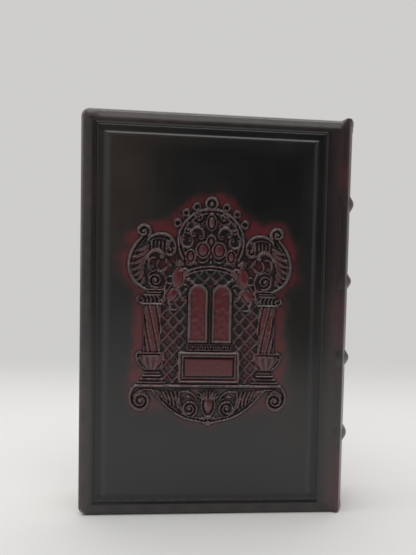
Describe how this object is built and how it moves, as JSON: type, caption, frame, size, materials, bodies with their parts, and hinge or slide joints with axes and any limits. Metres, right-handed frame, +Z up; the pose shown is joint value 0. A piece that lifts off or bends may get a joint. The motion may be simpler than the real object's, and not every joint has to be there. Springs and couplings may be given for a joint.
{
  "type": "leather-bound book",
  "caption": "Standing leather-bound book with hinged covers, a raised panel with an embossed emblem, a rounded spine with raised bands, and a solid block of pages.",
  "frame": {"origin": "centre of the book's box on the surface it stands on, at the tails of the covers", "axes": "+Z up from tail to head, the front cover faces -Y, the spine is on +X and the fore edge on -X"},
  "size_m": [0.1672, 0.0446, 0.2418],
  "materials": {
    "leather": "satin",
    "page_edges": "matte",
    "endpaper": "matte",
    "board": "matte",
    "linen": "matte",
    "cord": "matte",
    "silk": "satin"
  },
  "bodies": {
    "block": {"text_block": "page_edges", "front_flyleaf": "endpaper", "rear_flyleaf": "endpaper", "spine_lining": "linen", "head_endband": "silk", "tail_endband": "silk", "raised_band_1": "cord", "raised_band_2": "cord", "raised_band_3": "cord", "raised_band_4": "cord", "spine_leather": "leather", "front_joint_leather": "leather", "rear_joint_leather": "leather"},
    "front_cover": {"front_board": "board", "front_panel_card": "board", "front_leather": "leather", "front_pastedown": "endpaper"},
    "rear_cover": {"rear_board": "board", "rear_panel_card": "board", "rear_leather": "leather", "rear_pastedown": "endpaper"}
  },
  "joints": [
    {"name": "front_cover_hinge", "type": "hinge", "parent": "block", "child": "front_cover", "pos_m": [0.07165, -0.0203, 0.12], "axis": [0, 0, 1], "range_deg": [0, 175], "deforming": ["front_joint_leather"]},
    {"name": "rear_cover_hinge", "type": "hinge", "parent": "block", "child": "rear_cover", "pos_m": [0.07165, 0.0217, 0.12], "axis": [0, 0, -1], "range_deg": [0, 175], "deforming": ["rear_joint_leather"]}
  ]
}
